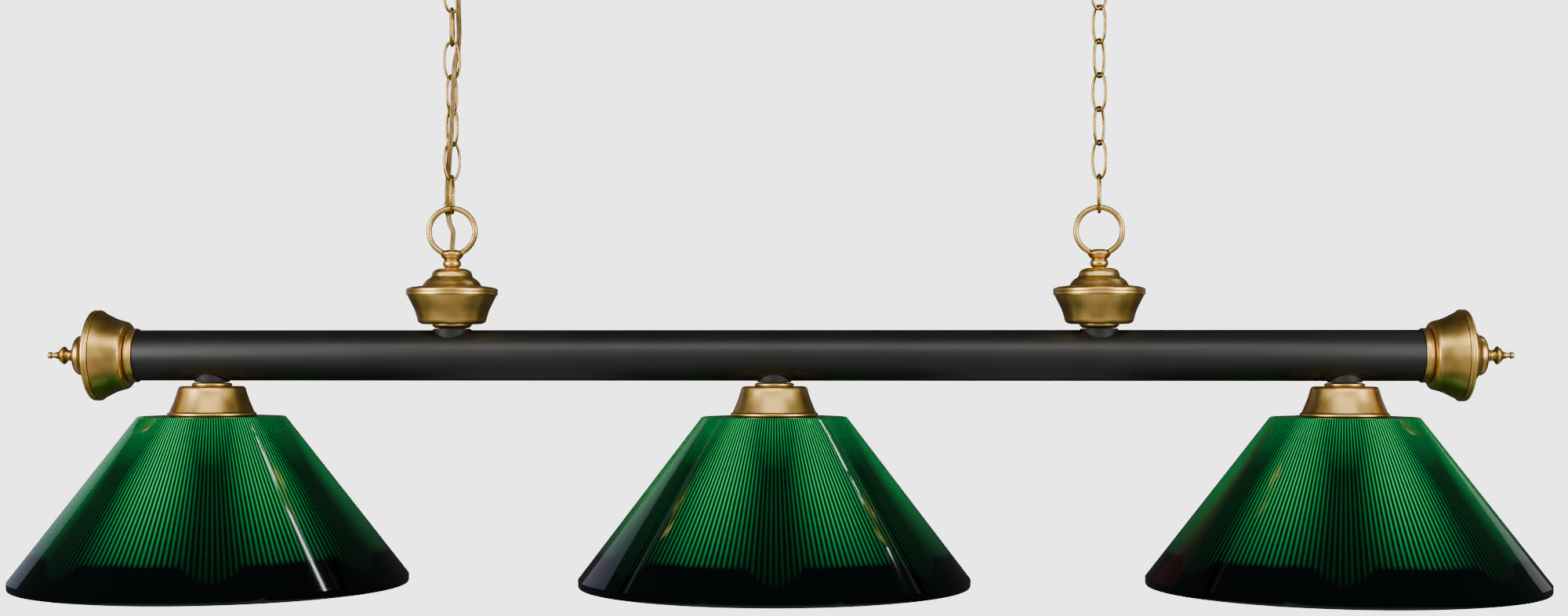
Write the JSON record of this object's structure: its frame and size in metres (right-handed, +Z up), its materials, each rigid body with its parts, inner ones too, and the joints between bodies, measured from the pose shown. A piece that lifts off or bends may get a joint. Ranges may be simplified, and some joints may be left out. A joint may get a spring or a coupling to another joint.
{
  "type": "pool table lamp",
  "caption": "Hanging lamp for a pool table: a long tube on chains, with ribbed cone shades on turned lampholders and bell-shaped end caps",
  "frame": {"origin": "on the ceiling plane, midway between the two canopies", "axes": "+Z up, +X along the tube, -Y towards the viewer"},
  "size_m": [1.4354, 0.3686, 0.6572],
  "materials": {
    "black_tube": "satin black-bronze paint on steel",
    "antique_brass": "satin antique brass, spun and turned",
    "chain_brass": "brass-plated bent wire, bright",
    "green_acrylic": "glossy outside, fine ribs inside",
    "phenolic": "moulded phenolic",
    "bulb_glass": "opal glass",
    "zinc_steel": "zinc-plated",
    "clear_gold_cord": "clear gold flat lamp cord"
  },
  "bodies": {
    "ceiling_fittings": {"left_canopy": "antique_brass", "left_crossbar": "zinc_steel", "left_ceiling_loop": "antique_brass", "right_canopy": "antique_brass", "right_crossbar": "zinc_steel", "right_ceiling_loop": "antique_brass"},
    "left_top_link": {"left_link_7": "chain_brass"},
    "right_top_link": {"right_link_7": "chain_brass"},
    "left_chain": {"left_link_2": "chain_brass", "left_link_3": "chain_brass", "left_link_4": "chain_brass", "left_link_5": "chain_brass", "left_link_6": "chain_brass", "lamp_cord": "clear_gold_cord"},
    "right_chain": {"right_link_2": "chain_brass", "right_link_3": "chain_brass", "right_link_4": "chain_brass", "right_link_5": "chain_brass", "right_link_6": "chain_brass"},
    "left_bottom_link": {"left_link_1": "chain_brass"},
    "right_bottom_link": {"right_link_1": "chain_brass"},
    "lamp_bar": {"main_tube": "black_tube", "left_hanger_saddle": "black_tube", "left_hanger_collar": "antique_brass", "left_hanger_bell": "antique_brass", "left_hanger_cover": "antique_brass", "left_hanger_loop": "antique_brass", "left_hanger_nipple": "zinc_steel", "right_hanger_saddle": "black_tube", "right_hanger_collar": "antique_brass", "right_hanger_bell": "antique_brass", "right_hanger_cover": "antique_brass", "right_hanger_loop": "antique_brass", "right_hanger_nipple": "zinc_steel", "left_end_collar": "antique_brass", "left_end_bell": "antique_brass", "left_end_cover": "antique_brass", "left_finial": "antique_brass", "right_end_collar": "antique_brass", "right_end_bell": "antique_brass", "right_end_cover": "antique_brass", "right_finial": "antique_brass", "left_holder_saddle": "black_tube", "left_holder_cup": "antique_brass", "left_socket": "phenolic", "left_shade_ring": "phenolic", "left_shade": "green_acrylic", "left_bulb": "bulb_glass", "centre_holder_saddle": "black_tube", "centre_holder_cup": "antique_brass", "centre_socket": "phenolic", "centre_shade_ring": "phenolic", "centre_shade": "green_acrylic", "centre_bulb": "bulb_glass", "right_holder_saddle": "black_tube", "right_holder_cup": "antique_brass", "right_socket": "phenolic", "right_shade_ring": "phenolic", "right_shade": "green_acrylic", "right_bulb": "bulb_glass"}
  },
  "joints": [
    {"name": "fore_aft_swing", "type": "hinge", "parent": "ceiling_fittings", "child": "left_top_link", "pos_m": [-0.3048, 0, -0.0803], "axis": [1, 0, 0], "range_deg": [-20, 20], "deforming": ["lamp_cord"]},
    {"name": "side_swing", "type": "hinge", "parent": "left_top_link", "child": "left_chain", "pos_m": [-0.3048, 0, -0.112], "axis": [0, 1, 0], "range_deg": [-12, 12]},
    {"name": "left_levelling", "type": "hinge", "parent": "left_chain", "child": "left_bottom_link", "pos_m": [-0.3048, 0, -0.2705], "axis": [0, 1, 0], "range_deg": [-12, 12]},
    {"name": "bar_tilt", "type": "hinge", "parent": "left_bottom_link", "child": "lamp_bar", "pos_m": [-0.3048, 0, -0.3011], "axis": [1, 0, 0], "range_deg": [-15, 15]},
    {"name": "right_fore_aft", "type": "hinge", "parent": "ceiling_fittings", "child": "right_top_link", "pos_m": [0.3048, 0, -0.0803], "axis": [1, 0, 0], "range_deg": [-20, 20]},
    {"name": "right_side_swing", "type": "hinge", "parent": "right_top_link", "child": "right_chain", "pos_m": [0.3048, 0, -0.112], "axis": [0, 1, 0], "range_deg": [-12, 12]},
    {"name": "right_levelling", "type": "hinge", "parent": "right_chain", "child": "right_bottom_link", "pos_m": [0.3048, 0, -0.2705], "axis": [0, 1, 0], "range_deg": [-12, 12]}
  ],
  "couplings": [
    {"joint": "right_fore_aft", "follows": "fore_aft_swing", "ratio": 1},
    {"joint": "left_levelling", "follows": "side_swing", "ratio": -1},
    {"joint": "right_side_swing", "follows": "side_swing", "ratio": 1},
    {"joint": "right_levelling", "follows": "side_swing", "ratio": -1}
  ]
}
